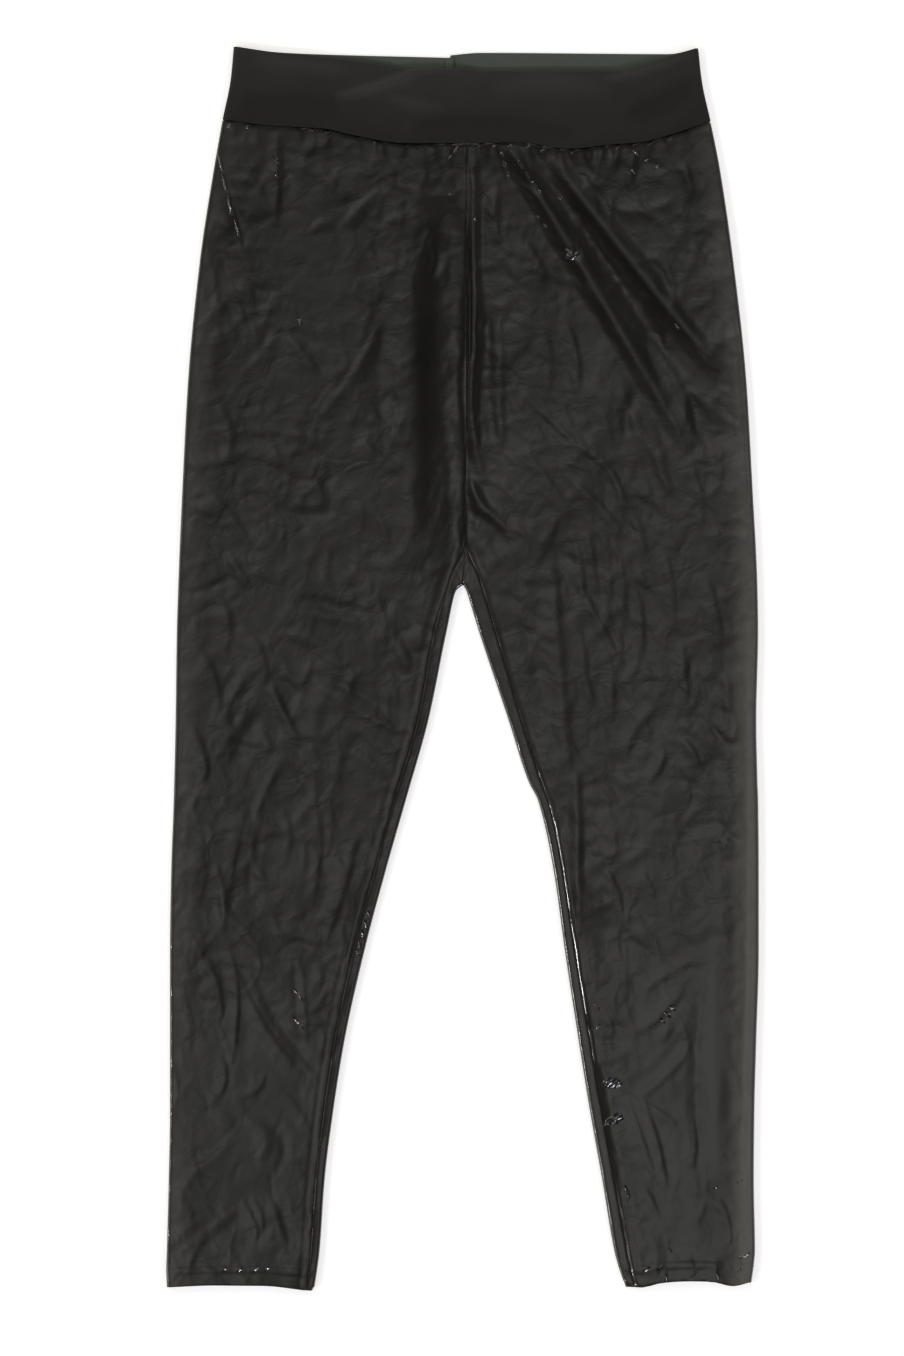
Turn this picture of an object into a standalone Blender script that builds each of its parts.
"""High-waisted leggings of coated stretch cloth, laid flat on their back.

+Z is up, the waist points to +Y, and +X is to the right of someone looking down at the front.
The origin is on the surface, under the middle of the garment. Tables and sizes are in millimetres.
Each leg is one panel: it starts at the centre-front seam, crosses the front, folds round the
outer side, crosses the back to the centre-back seam and, below the crotch, folds forward round
the inside of the leg to the inseam, which lies on the front.
"""

from collections import namedtuple

import bmesh
import bpy
import numpy as np

MM = 0.001

# Cloth
LEG_CLOTH = 1.0  # one layer of coated stretch cloth
HEM_CLOTH = 1.8  # that layer and the hem turned up inside it
HEM_DEPTH = 13.0
BAND_CLOTH = 1.6  # jersey, doubled
SEAM_GAP = 0.3  # left open between two sewn edges
LEAST_HOLLOW = 0.5  # room between the front and the back layer
MOST_HOLLOW = 3.6

# How many faces go round a section
FRONT_FACES = 20
FOLD_FACES = 4
BACK_FACES = 4
INNER_FOLD_FACES = 3
STRIP_FACES = 2  # from the inner fold forward to the inseam
BAND_FRONT_FACES = 24
BAND_BACK_FACES = 5
BAND_ROWS = 5

# How far the curve of an edge reaches into the panel
WAIST_REACH = 70.0
HEM_REACH = 45.0

# One row for each section of a leg, from the waist seam to the hem. outer is the folded side.
# seam is the front edge of the panel: the centre front, then the inseam. inner is the centre
# back down to the crotch, then the fold inside the leg. The lofts are the height of the front
# above the surface at the side and at the seam. steps is the number of faces to the row above.
Section = namedtuple(
    "Section", "steps outer_x outer_y seam_x seam_y inner_x inner_y side_loft seam_loft"
)
FORK = 5  # the row where the centre seams and both inseams meet
LEFT_LEG = [
    Section(0, -192.0, 438.5, 3.0, 419.5, -3.0, 431.0, 4.2, 4.2),
    Section(5, -199.0, 398.5, 3.0, 386.0, -2.0, 395.0, 4.2, 4.2),
    Section(7, -210.0, 326.5, 3.0, 320.0, -1.0, 325.0, 4.4, 4.4),
    Section(8, -219.5, 230.5, 3.0, 232.0, -0.5, 226.5, 4.4, 4.4),
    Section(6, -224.5, 134.5, 2.5, 149.0, 0.5, 118.5, 4.2, 4.4),
    Section(3, -226.5, 89.5, 2.0, 102.5, 0.5, 68.0, 4.2, 4.4),
    Section(3, -227.5, 62.5, -9.5, 74.5, -5.0, 61.5, 4.2, 4.4),
    Section(2, -228.5, 30.5, -22.5, 30.5, -12.5, 29.0, 4.2, 4.6),
    Section(4, -229.5, -41.5, -36.0, -41.5, -27.0, -41.5, 4.0, 4.6),
    Section(3, -231.0, -105.5, -55.0, -105.5, -45.0, -105.5, 4.0, 4.6),
    Section(3, -233.0, -161.5, -70.5, -161.5, -61.0, -161.5, 4.2, 4.6),
    Section(3, -234.0, -225.5, -87.5, -225.5, -78.0, -225.5, 4.4, 4.8),
    Section(4, -234.0, -297.5, -102.5, -297.5, -94.0, -297.5, 4.4, 4.8),
    Section(2, -234.0, -353.5, -111.0, -353.5, -103.0, -353.5, 4.2, 4.6),
    Section(2, -235.0, -409.5, -117.5, -409.5, -110.0, -409.5, 4.4, 4.6),
    Section(2, -236.5, -465.5, -121.5, -465.5, -114.0, -465.5, 4.8, 4.8),
    Section(1, -237.0, -481.0, -123.0, -482.5, -116.0, -481.5, 5.0, 5.0),
    Section(1, -237.0, -482.0, -123.0, -483.5, -116.0, -482.5, 5.0, 5.0),
    Section(1, -236.5, -495.0, -124.5, -497.0, -118.0, -494.5, 5.0, 5.0),
]
RIGHT_LEG = [
    Section(0, 198.5, 437.0, 3.0, 419.5, -3.0, 431.0, 4.6, 4.2),
    Section(5, 206.0, 398.5, 3.0, 386.0, -2.0, 395.0, 4.8, 4.2),
    Section(7, 216.5, 326.5, 3.0, 320.0, -1.0, 325.0, 5.2, 4.4),
    Section(8, 227.0, 230.5, 3.0, 232.0, -0.5, 226.5, 5.2, 4.4),
    Section(6, 232.5, 134.5, 2.5, 149.0, 0.5, 118.5, 5.2, 4.4),
    Section(3, 235.0, 89.5, 2.0, 102.5, 0.5, 68.0, 5.2, 4.4),
    Section(3, 236.0, 62.5, 13.0, 73.0, 3.0, 61.5, 5.2, 4.4),
    Section(2, 236.5, 30.5, 26.0, 30.5, 12.5, 30.5, 5.2, 4.8),
    Section(4, 235.0, -41.5, 47.0, -41.5, 36.5, -41.5, 5.2, 5.2),
    Section(3, 236.0, -92.0, 63.5, -92.0, 53.0, -92.0, 5.2, 5.4),
    Section(1, 236.5, -105.5, 68.5, -105.5, 60.0, -105.5, 5.2, 5.4),
    Section(3, 237.0, -161.5, 80.0, -161.5, 72.5, -161.5, 5.2, 5.4),
    Section(3, 237.0, -225.5, 90.0, -225.5, 81.5, -225.5, 5.2, 5.4),
    Section(4, 235.0, -297.5, 102.0, -297.5, 92.5, -297.5, 5.2, 5.4),
    Section(2, 233.5, -353.5, 111.5, -353.5, 101.5, -353.5, 5.2, 5.4),
    Section(2, 233.0, -409.5, 121.5, -409.5, 111.5, -409.5, 5.2, 5.4),
    Section(2, 234.0, -465.5, 131.5, -465.5, 121.0, -465.5, 5.2, 5.4),
    Section(1, 233.0, -477.0, 134.5, -480.0, 124.0, -477.0, 5.2, 5.4),
    Section(1, 233.0, -478.0, 134.5, -481.0, 124.2, -478.0, 5.2, 5.4),
    Section(1, 231.0, -490.5, 138.0, -494.0, 128.0, -489.5, 5.2, 5.4),
]

# Edges that curve across the garment, left to right
Edge = namedtuple("Edge", "x y")
WAIST_SEAM_FRONT = [
    Edge(-192.0, 438.5),
    Edge(-153.0, 433.5),
    Edge(-110.0, 431.0),
    Edge(-88.0, 426.0),
    Edge(-46.0, 419.5),
    Edge(4.0, 419.5),
    Edge(45.0, 420.0),
    Edge(84.0, 415.0),
    Edge(120.0, 418.5),
    Edge(141.0, 420.0),
    Edge(167.0, 426.5),
    Edge(198.5, 437.0),
]
WAIST_SEAM_BACK = [Edge(-192.0, 438.5), Edge(-100.0, 434.0), Edge(0.0, 431.0), Edge(198.5, 437.0)]
BAND_TOP_FRONT = [
    Edge(-183.0, 497.0),
    Edge(-148.5, 492.0),
    Edge(-124.5, 490.0),
    Edge(-67.0, 482.5),
    Edge(-46.0, 479.0),
    Edge(-3.0, 479.5),
    Edge(16.5, 477.0),
    Edge(119.5, 477.0),
    Edge(141.0, 481.5),
    Edge(162.0, 488.0),
    Edge(188.5, 496.0),
]
BAND_TOP_BACK_LEFT = [Edge(-183.0, 497.0), Edge(-148.5, 492.5), Edge(-120.0, 491.0), Edge(-10.0, 488.0)]
BAND_TOP_BACK_RIGHT = [Edge(-10.0, 490.0), Edge(14.0, 492.0), Edge(165.0, 491.0), Edge(188.5, 496.0)]
BAND_CENTRE_BACK = -10.0
LEFT_HEM = [Edge(-236.5, -495.0), Edge(-198.0, -493.5), Edge(-160.0, -493.5), Edge(-124.5, -497.0)]
RIGHT_HEM = [
    Edge(138.0, -494.0),
    Edge(143.0, -494.5),
    Edge(160.0, -491.0),
    Edge(179.0, -490.0),
    Edge(198.0, -490.5),
    Edge(216.0, -494.0),
    Edge(231.0, -490.5),
]

Leg = namedtuple("Leg", "name side table hem")
LEGS = [Leg("leg_left", -1, LEFT_LEG, LEFT_HEM), Leg("leg_right", 1, RIGHT_LEG, RIGHT_HEM)]

# The folded ends of the waistband: how far out they are at each share of the way down
BandSide = namedtuple("BandSide", "share left right")
BAND_SIDES = [
    BandSide(0.0, -183.0, 188.5),
    BandSide(0.45, -185.5, 191.5),
    BandSide(1.0, -192.0, 198.5),
]
BAND_LOFT = 4.9

# The largest folds of the front, each along a soft curve through three places.
# rise is above the cloth round it, and a trough's is below zero.
Fold = namedtuple("Fold", "x1 y1 x2 y2 x3 y3 width rise")
FOLDS = [
    # left hip and the broad trough beside the centre front
    Fold(-20, 340, -36, 214, -28, 70, 34, -1.7),
    Fold(-10, 330, -12, 214, -8, 110, 18, 0.6),
    Fold(-149, 425, -148, 384, -150, 340, 20, -1.2),
    Fold(-192, 345, -182, 300, -170, 262, 22, -0.9),
    Fold(-64, 288, -92, 230, -122, 190, 20, -1.0),
    # left thigh
    Fold(-124, 52, -100, 52, -76, 42, 20, 0.8),
    Fold(-152, -12, -145, -38, -128, -62, 22, -1.0),
    Fold(-108, -10, -74, -28, -38, -50, 24, -1.1),
    Fold(-48, 28, -46, 12, -42, -6, 22, -1.2),
    Fold(-194, -80, -176, -62, -160, -44, 24, 0.8),
    # left knee and shin
    Fold(-160, -100, -168, -143, -182, -182, 30, -1.1),
    Fold(-70, -118, -92, -175, -112, -225, 26, -1.2),
    Fold(-184, -192, -162, -219, -142, -238, 28, -1.1),
    Fold(-188, -236, -168, -285, -124, -334, 26, -1.5),
    Fold(-206, -226, -196, -262, -186, -322, 26, -1.1),
    Fold(-168, -366, -150, -380, -132, -404, 40, -1.1),
    Fold(-178, -424, -198, -444, -220, -464, 24, 0.9),
    # right hip: two long diagonal troughs, and the ridge between them
    Fold(34, 418, 118, 292, 180, 182, 30, -2.0),
    Fold(70, 404, 130, 334, 196, 250, 24, -1.8),
    Fold(92, 358, 142, 296, 182, 228, 16, 0.8),
    Fold(11, 400, 9, 270, 8, 106, 18, -1.5),
    Fold(110, 374, 138, 366, 168, 379, 20, -1.0),
    Fold(44, 224, 78, 190, 120, 158, 20, -1.0),
    # right thigh
    Fold(102, 176, 134, 112, 154, 48, 22, -1.1),
    Fold(92, 74, 112, 41, 134, -8, 26, -1.1),
    Fold(74, 84, 74, -20, 88, -110, 28, -1.0),
    Fold(176, 26, 178, -8, 180, -40, 26, -1.1),
    # right knee and shin
    Fold(215, 0, 217, -226, 207, -410, 24, -1.1),
    Fold(204, -208, 184, -226, 164, -238, 26, -1.0),
    Fold(103, -266, 118, -256, 134, -244, 24, -1.0),
    Fold(186, -246, 160, -279, 134, -292, 24, -1.1),
    Fold(104, -156, 122, -182, 127, -222, 24, -1.0),
    Fold(140, -345, 155, -383, 163, -420, 24, -1.0),
]
BAND_CREASE = Fold(-95, 460, -62, 469, -36, 478, 26, 0.6)
FOLD_SAMPLES = 32

# The legs are gathered into the waistband: short troughs that run down from the waist seam
Gather = namedtuple("Gather", "x lean length width depth")
GATHERS = [
    Gather(-176, 6, 34, 20, 0.8),
    Gather(-112, -3, 26, 20, 0.6),
    Gather(-72, 4, 24, 20, 0.6),
    Gather(16, 3, 30, 18, 0.8),
    Gather(58, 8, 26, 18, 0.8),
    Gather(96, 6, 30, 20, 0.9),
    Gather(124, -2, 28, 18, 0.8),
    Gather(146, -6, 34, 18, 0.9),
    Gather(172, -4, 30, 20, 0.8),
]

# Finishes: colour, roughness
COATED_BLACK = ((0.022, 0.022, 0.020, 1.0), 0.24)
JERSEY_BLACK = ((0.018, 0.018, 0.017, 1.0), 0.92)
SHARP_ANGLE = np.radians(50.0)


def smooth_curve(keys, values, at):
    """Values between a table's rows, on a cubic that never bulges past them."""
    keys, values = np.asarray(keys, float), np.asarray(values, float)
    at = np.clip(at, keys[0], keys[-1])
    gaps = np.diff(keys)
    rises = np.diff(values) / gaps
    before, after = rises[:-1], rises[1:]
    slopes = np.concatenate(([rises[0]], np.zeros(len(before)), [rises[-1]]))
    same_way = before * after > 0
    slopes[1:-1][same_way] = 2 * (before * after)[same_way] / (before + after)[same_way]
    span = np.clip(np.searchsorted(keys, at, side="right") - 1, 0, len(gaps) - 1)
    t = (at - keys[span]) / gaps[span]
    ease = t * t * (3 - 2 * t)
    lean = slopes[span] * t * (1 - t) ** 2 - slopes[span + 1] * t**2 * (1 - t)
    return values[span] * (1 - ease) + values[span + 1] * ease + gaps[span] * lean


def edge_y(edge, x):
    """Where an edge that curves across the garment lies at x."""
    return smooth_curve([point.x for point in edge], [point.y for point in edge], x)


def bump(away):
    """1 in the middle of a fold, 0 at its foot, where away is 1."""
    return np.cos(np.clip(away, 0, 1) * np.pi / 2) ** 2


def fold_rise(fold, x, y):
    """How far a fold lifts the cloth: most along its middle, nothing at its two ends."""
    along = np.linspace(0.0, 1.0, FOLD_SAMPLES)
    near, middle, far = (1 - along) ** 2, 2 * along * (1 - along), along**2
    bend_x = 2 * fold.x2 - (fold.x1 + fold.x3) / 2
    bend_y = 2 * fold.y2 - (fold.y1 + fold.y3) / 2
    path_x = near * fold.x1 + middle * bend_x + far * fold.x3
    path_y = near * fold.y1 + middle * bend_y + far * fold.y3
    apart = np.hypot(x[..., None] - path_x, y[..., None] - path_y)
    fade = np.sqrt(np.sin(np.pi * along))[apart.argmin(axis=-1)]
    return fold.rise * fade * bump(apart.min(axis=-1) / (fold.width / 2))


def gather_rise(gather, x, y):
    """How far a gather sinks the cloth below the waist seam."""
    down = np.clip((edge_y(WAIST_SEAM_FRONT, x) - y) / gather.length, 0, 1)
    away = np.abs(x - gather.x - gather.lean * down) / (gather.width / 2)
    return -gather.depth * bump(down) * bump(away)


def front_height(x, y, loft, cloth):
    """The outside of the front layer above the surface, kept clear of the back layer."""
    x, y = np.asarray(x, float), np.asarray(y, float)
    height = loft + sum(fold_rise(fold, x, y) for fold in FOLDS)
    height = height + sum(gather_rise(gather, x, y) for gather in GATHERS)
    return np.clip(height, 2 * cloth + LEAST_HOLLOW, 2 * cloth + MOST_HOLLOW)


def stack(x, y, z):
    return np.stack(np.broadcast_arrays(x, y, z), axis=-1).astype(float)


def rounded_fold(centre, outward, radius, cloth, turns):
    """Points round a folded edge, outside and inside, at these angles above the level."""
    skins = []
    for reach in (radius, radius - cloth):
        out = reach * np.cos(turns)
        x, y = centre[0] + outward[0] * out, centre[1] + outward[1] * out
        skins.append(stack(x, y, radius + reach * np.sin(turns)))
    return skins


def leg_rows(table):
    """A section for every row of faces, read from the smooth curves through the table."""
    keys = [-row.outer_y for row in table]
    at = [keys[:1]]
    for above, below, row in zip(keys, keys[1:], table[1:]):
        at.append(np.linspace(above, below, row.steps + 1)[1:])
    at = np.concatenate(at)
    columns = [smooth_curve(keys, values, at) for values in list(zip(*table))[1:]]
    return [Section(0, *values) for values in zip(*columns)]


def edge_pull(table, row, hem, waist, end, x, t):
    """How far the curves of the waist seam and the hem move a row's places up or down.

    t is 0 at the side and 1 at the other end, whose height is the field named by end.
    """
    top, bottom = table[0], table[-1]
    top_line = top.outer_y + (getattr(top, end) - top.outer_y) * t
    hem_line = bottom.outer_y + (getattr(bottom, end) - bottom.outer_y) * t
    waist_share = bump((top.outer_y - row.outer_y) / WAIST_REACH)
    hem_share = bump((row.outer_y - bottom.outer_y) / HEM_REACH)
    return waist_share * (edge_y(waist, x) - top_line) + hem_share * (edge_y(hem, x) - hem_line)


def layer(x, y, height, cloth):
    """Both faces of a layer of cloth whose upper face is this high: outside, then inside."""
    return stack(x, y, height), stack(x, y, height - cloth)


def under_layer(x, y, cloth):
    """Both faces of the layer that lies on the surface: outside, then inside."""
    return stack(x, y, 0.0), stack(x, y, cloth)


def joined(skins):
    """The outside and the inside of a section, from those of its stretches in order."""
    return [np.concatenate(face) for face in zip(*skins)]


def leg_section(leg, row, number, fork, hem_top):
    """The outside and inside points of one row of a leg's wall, once round it."""
    cloth = HEM_CLOTH if row.outer_y < hem_top else LEG_CLOTH
    half_gap = leg.side * SEAM_GAP / 2
    seam_cut = SEAM_GAP if number == 0 else 0.0

    # front, from the seam out to the fold at the side
    near_side = row.outer_x - leg.side * row.side_loft / 2
    side_radius = front_height(near_side, row.outer_y, row.side_loft, cloth) / 2
    fold_x = row.outer_x - leg.side * side_radius
    t = np.linspace(1.0, 0.0, FRONT_FACES + 1)
    x = fold_x + (row.seam_x + half_gap - fold_x) * t
    y = row.outer_y + (row.seam_y - row.outer_y) * t - seam_cut
    y = y + edge_pull(leg.table, row, leg.hem, WAIST_SEAM_FRONT, "seam_y", x, t)
    height = front_height(x, y, row.side_loft + (row.seam_loft - row.side_loft) * t, cloth)
    height[-1] = 2 * side_radius
    skins = [layer(x, y, height, cloth)]

    # round the side
    turns = np.radians(np.linspace(90.0, -90.0, FOLD_FACES + 1)[1:-1])
    skins.append(rounded_fold((fold_x, y[-1]), (leg.side, 0.0), side_radius, cloth, turns))

    # back, to the centre back or to the fold inside the leg
    seam_end = np.array([row.seam_x - half_gap, row.seam_y - SEAM_GAP])
    if number == fork:
        seam_end[0] = row.seam_x + half_gap
    back_end = np.array([row.inner_x + half_gap, row.inner_y])
    inward = (seam_end - back_end) / np.linalg.norm(seam_end - back_end)
    radius = front_height(*(back_end + inward * row.seam_loft / 2), row.seam_loft, cloth) / 2
    if number >= fork:
        back_end = back_end + inward * radius
    t = np.linspace(0.0, 1.0, BACK_FACES + 1)
    x = fold_x + (back_end[0] - fold_x) * t
    y = row.outer_y + (back_end[1] - row.outer_y) * t - seam_cut
    y = y + edge_pull(leg.table, row, leg.hem, WAIST_SEAM_BACK, "inner_y", x, t)
    skins.append(under_layer(x, y, cloth))

    # round the inside of the leg, and forward to the inseam
    turns = np.radians(np.linspace(-90.0, 90.0, INNER_FOLD_FACES + 1)[1:-1])
    skins.append(rounded_fold(back_end, -inward, radius, cloth, turns))
    t = np.linspace(0.0, 1.0, STRIP_FACES + 1)
    x = back_end[0] + (seam_end[0] - back_end[0]) * t
    y = back_end[1] + (seam_end[1] - back_end[1]) * t
    height = front_height(x, y, row.seam_loft, cloth)
    height[0] = 2 * radius
    skins.append(layer(x, y, height, cloth))
    return joined(skins)


def leg_skins(leg):
    """The outside and inside points of a leg's wall, a row for each section."""
    fork = fork_row(leg.table)
    hem_top = leg.table[-1].outer_y + HEM_DEPTH
    rows = enumerate(leg_rows(leg.table))
    sections = [leg_section(leg, row, number, fork, hem_top) for number, row in rows]
    return [np.array(skin) for skin in zip(*sections)]


def fork_row(table):
    """The number of the row where the centre seams and the inseam meet."""
    return sum(row.steps for row in table[: FORK + 1])


def band_front_height(x, y):
    return BAND_LOFT + fold_rise(BAND_CREASE, x, y)


def band_section(share):
    """The outside and inside points of one row of the waistband, this share of the way down."""
    shares = [row.share for row in BAND_SIDES]
    radius = BAND_LOFT / 2
    left = smooth_curve(shares, [row.left for row in BAND_SIDES], share) + radius
    right = smooth_curve(shares, [row.right for row in BAND_SIDES], share) - radius
    centre_left, centre_right = BAND_CENTRE_BACK - SEAM_GAP / 2, BAND_CENTRE_BACK + SEAM_GAP / 2
    turns = np.radians(np.linspace(-90.0, 90.0, FOLD_FACES + 1)[1:-1])

    def between(top, bottom, x):
        return edge_y(top, x) * (1 - share) + edge_y(bottom, x) * share

    x = np.linspace(centre_left, left, BAND_BACK_FACES + 1)
    y = between(BAND_TOP_BACK_LEFT, WAIST_SEAM_BACK, x)
    skins = [under_layer(x, y, BAND_CLOTH)]
    skins.append(rounded_fold((left, y[-1]), (-1.0, 0.0), radius, BAND_CLOTH, turns))
    x = np.linspace(left, right, BAND_FRONT_FACES + 1)
    y = between(BAND_TOP_FRONT, WAIST_SEAM_FRONT, x)
    skins.append(layer(x, y, band_front_height(x, y), BAND_CLOTH))
    skins.append(rounded_fold((right, y[-1]), (1.0, 0.0), radius, BAND_CLOTH, turns[::-1]))
    x = np.linspace(right, centre_right, BAND_BACK_FACES + 1)
    skins.append(under_layer(x, between(BAND_TOP_BACK_RIGHT, WAIST_SEAM_BACK, x), BAND_CLOTH))
    return joined(skins)


def band_skins():
    """The outside and inside points of the waistband, from its centre back round to it again."""
    sections = [band_section(share) for share in np.linspace(0.0, 1.0, BAND_ROWS + 1)]
    return [np.array(skin) for skin in zip(*sections)]


def coating(name, finish):
    """A plain finish: the cloth's colour and how dull it is."""
    material = bpy.data.materials.new(name)
    material.use_nodes = True
    shader = material.node_tree.nodes["Principled BSDF"]
    shader.inputs["Base Color"].default_value = finish[0]
    shader.inputs["Roughness"].default_value = finish[1]
    shader.inputs["Metallic"].default_value = 0.0
    return material


def left_out(wall, place, columns, last_row, first_column):
    """The faces of a grid above this row and past this column."""
    found = []
    for face in wall.faces:
        rows, across = zip(*(divmod(vert[place], columns) for vert in face.verts))
        if max(rows) <= last_row and min(across) >= first_column:
            found.append(face)
    return found


def sewn_piece(name, outside, inside, material, missing=None):
    """A sheet of cloth as a closed wall: a grid on its outside, extruded to its inside."""
    rows, columns = outside.shape[:2]
    outside, inside = outside.reshape(-1, 3) * MM, inside.reshape(-1, 3) * MM
    wall = bmesh.new()
    place = wall.verts.layers.int.new("place")
    bmesh.ops.create_grid(wall, x_segments=columns - 1, y_segments=rows - 1, size=1.0)
    for number, vert in enumerate(wall.verts):
        vert[place] = number
        vert.co = outside[number]
    if missing:
        bmesh.ops.delete(wall, geom=left_out(wall, place, columns, *missing), context="FACES")
    made = bmesh.ops.extrude_face_region(wall, geom=wall.faces[:], use_keep_orig=True)
    for vert in made["geom"]:
        if isinstance(vert, bmesh.types.BMVert):
            vert.co = inside[vert[place]]
    bmesh.ops.recalc_face_normals(wall, faces=wall.faces[:])
    mesh = bpy.data.meshes.new(name)
    wall.to_mesh(mesh)
    wall.free()
    mesh.materials.append(material)
    mesh.shade_smooth()
    mesh.set_sharp_from_angle(angle=SHARP_ANGLE)
    piece = bpy.data.objects.new(name, mesh)
    bpy.context.scene.collection.objects.link(piece)
    return piece


def build():
    for old in list(bpy.data.objects):
        bpy.data.objects.remove(old)
    coated = coating("coated_cloth", COATED_BLACK)
    jersey = coating("band_jersey", JERSEY_BLACK)
    # above the fork a leg ends at the centre back, so its columns round the inner fold are left out
    back_end = FRONT_FACES + FOLD_FACES + BACK_FACES
    for leg in LEGS:
        sewn_piece(leg.name, *leg_skins(leg), coated, missing=(fork_row(leg.table), back_end))
    sewn_piece("waistband", *band_skins(), jersey)


build()
